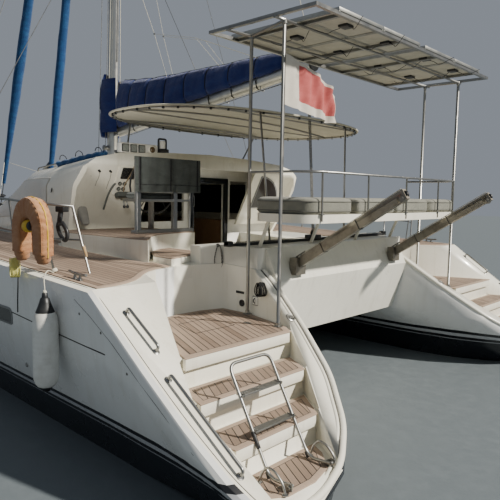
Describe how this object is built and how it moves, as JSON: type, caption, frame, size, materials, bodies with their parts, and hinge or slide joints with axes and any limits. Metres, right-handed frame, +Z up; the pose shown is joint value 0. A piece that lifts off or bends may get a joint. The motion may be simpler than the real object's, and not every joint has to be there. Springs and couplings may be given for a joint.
{
  "type": "sailing_catamaran",
  "caption": "Cruising sailing catamaran afloat with furled sails, stepped sterns, raised helm, bimini, solar gantry, davits and a folded swim ladder",
  "frame": {"origin": "On the centreline, amidships between the tips of the sterns and the bows, in the plane of the water", "axes": "+X to the bow, +Y to port, +Z up; the water is at Z = 0"},
  "size_m": [13.5, 7.8057, 19.89],
  "materials": {
    "gelcoat": "glossy white gelcoat, cream in the sun, weathered",
    "window": "dark tinted acrylic",
    "interior": "white moulded panels",
    "upholstery": "grey-beige cushion fabric",
    "stainless": "polished stainless steel tube",
    "black_plastic": "black moulded plastic",
    "spar": "anodised aluminium, dull with age",
    "blue_canvas": "deep blue canvas",
    "teal_canvas": "blue-green protective strip of the furled sails",
    "dark_canvas": "dark grey-green canvas",
    "beige_canvas": "beige canvas",
    "flag_cloth": "faded red cloth with a white border",
    "netting": "white netting",
    "solar": "dark solar cells under glass, cream undersides",
    "buoy_cover": "faded orange buoy cover",
    "fender_vinyl": "white vinyl with dark ends",
    "bronze": "bronze",
    "antifouling": "dark antifouling paint"
  },
  "bodies": {
    "root": {"hull_port": "gelcoat", "hull_starboard": "gelcoat", "bridgedeck": "gelcoat", "coachroof": "gelcoat", "window_panes": "window", "saloon_bulkhead": "interior", "saloon_fittings": "upholstery", "cockpit_seats": "gelcoat", "helm_platform": "gelcoat", "helm_console": "gelcoat", "helm_seat": "stainless", "helm_cushion": "upholstery", "helm_canvas": "dark_canvas", "instrument_pod": "black_plastic", "aft_seat": "gelcoat", "aft_cushion": "upholstery", "aft_rail": "stainless", "traveller": "black_plastic", "mast": "spar", "sail_cover_front": "blue_canvas", "inner_stay_sail": "teal_canvas", "forestay_sail": "teal_canvas", "shrouds_port": "stainless", "shrouds_starboard": "stainless", "crossbeam": "spar", "trampoline_port": "netting", "trampoline_starboard": "netting", "pulpit_port": "stainless", "pulpit_starboard": "stainless", "lifelines_port": "stainless", "lifelines_starboard": "stainless", "stern_rail_port": "stainless", "stern_rail_starboard": "stainless", "gantry": "stainless", "solar_panel_port": "solar", "solar_panel_starboard": "solar", "ensign": "flag_cloth", "bimini_frame": "stainless", "bimini_canvas": "beige_canvas", "davit_port": "spar", "davit_starboard": "spar", "saildrive_port": "spar", "saildrive_starboard": "spar", "horseshoe_buoy": "buoy_cover", "fender": "fender_vinyl", "ladder_brackets": "stainless"},
    "boom": {"boom": "spar", "sail_cover": "blue_canvas"},
    "rudder_port": {"rudder_port": "antifouling"},
    "rudder_starboard": {"rudder_starboard": "antifouling"},
    "steering_wheel": {"steering_wheel": "black_plastic"},
    "propeller_port": {"propeller_port": "bronze"},
    "propeller_starboard": {"propeller_starboard": "bronze"},
    "saloon_door": {"saloon_door": "interior"},
    "swim_ladder": {"swim_ladder": "stainless"}
  },
  "joints": [
    {"name": "boom_swing", "type": "hinge", "parent": "root", "child": "boom", "pos_m": [0.5, 0, 3.646], "axis": [0, 0, 1], "range_deg": [-65, 65]},
    {"name": "rudder_port", "type": "hinge", "parent": "root", "child": "rudder_port", "pos_m": [-5.65, 2.79, -0.4], "axis": [0, 0, 1], "range_deg": [-35, 35]},
    {"name": "rudder_starboard", "type": "hinge", "parent": "root", "child": "rudder_starboard", "pos_m": [-5.65, -2.79, -0.4], "axis": [0, 0, 1], "range_deg": [-35, 35]},
    {"name": "wheel_turn", "type": "hinge", "parent": "root", "child": "steering_wheel", "pos_m": [-2.35, 1.29, 2.57], "axis": [1, 0, 0], "range_deg": [-540, 540]},
    {"name": "propeller_port_spin", "type": "hinge", "parent": "root", "child": "propeller_port", "pos_m": [-4.08, 2.735, -0.72], "axis": [1, 0, 0], "continuous": true},
    {"name": "propeller_starboard_spin", "type": "hinge", "parent": "root", "child": "propeller_starboard", "pos_m": [-4.08, -2.735, -0.72], "axis": [1, 0, 0], "continuous": true},
    {"name": "door_slide", "type": "slide", "parent": "root", "child": "saloon_door", "axis": [0, 1, 0], "range_m": [0, 0.9]},
    {"name": "ladder_fold", "type": "hinge", "parent": "root", "child": "swim_ladder", "pos_m": [-6.6, 3, 0.372], "axis": [0, -1, 0], "range_deg": [0, 180]}
  ],
  "couplings": [
    {"joint": "rudder_starboard", "follows": "rudder_port", "ratio": 1},
    {"joint": "wheel_turn", "follows": "rudder_port", "ratio": 15.4}
  ]
}
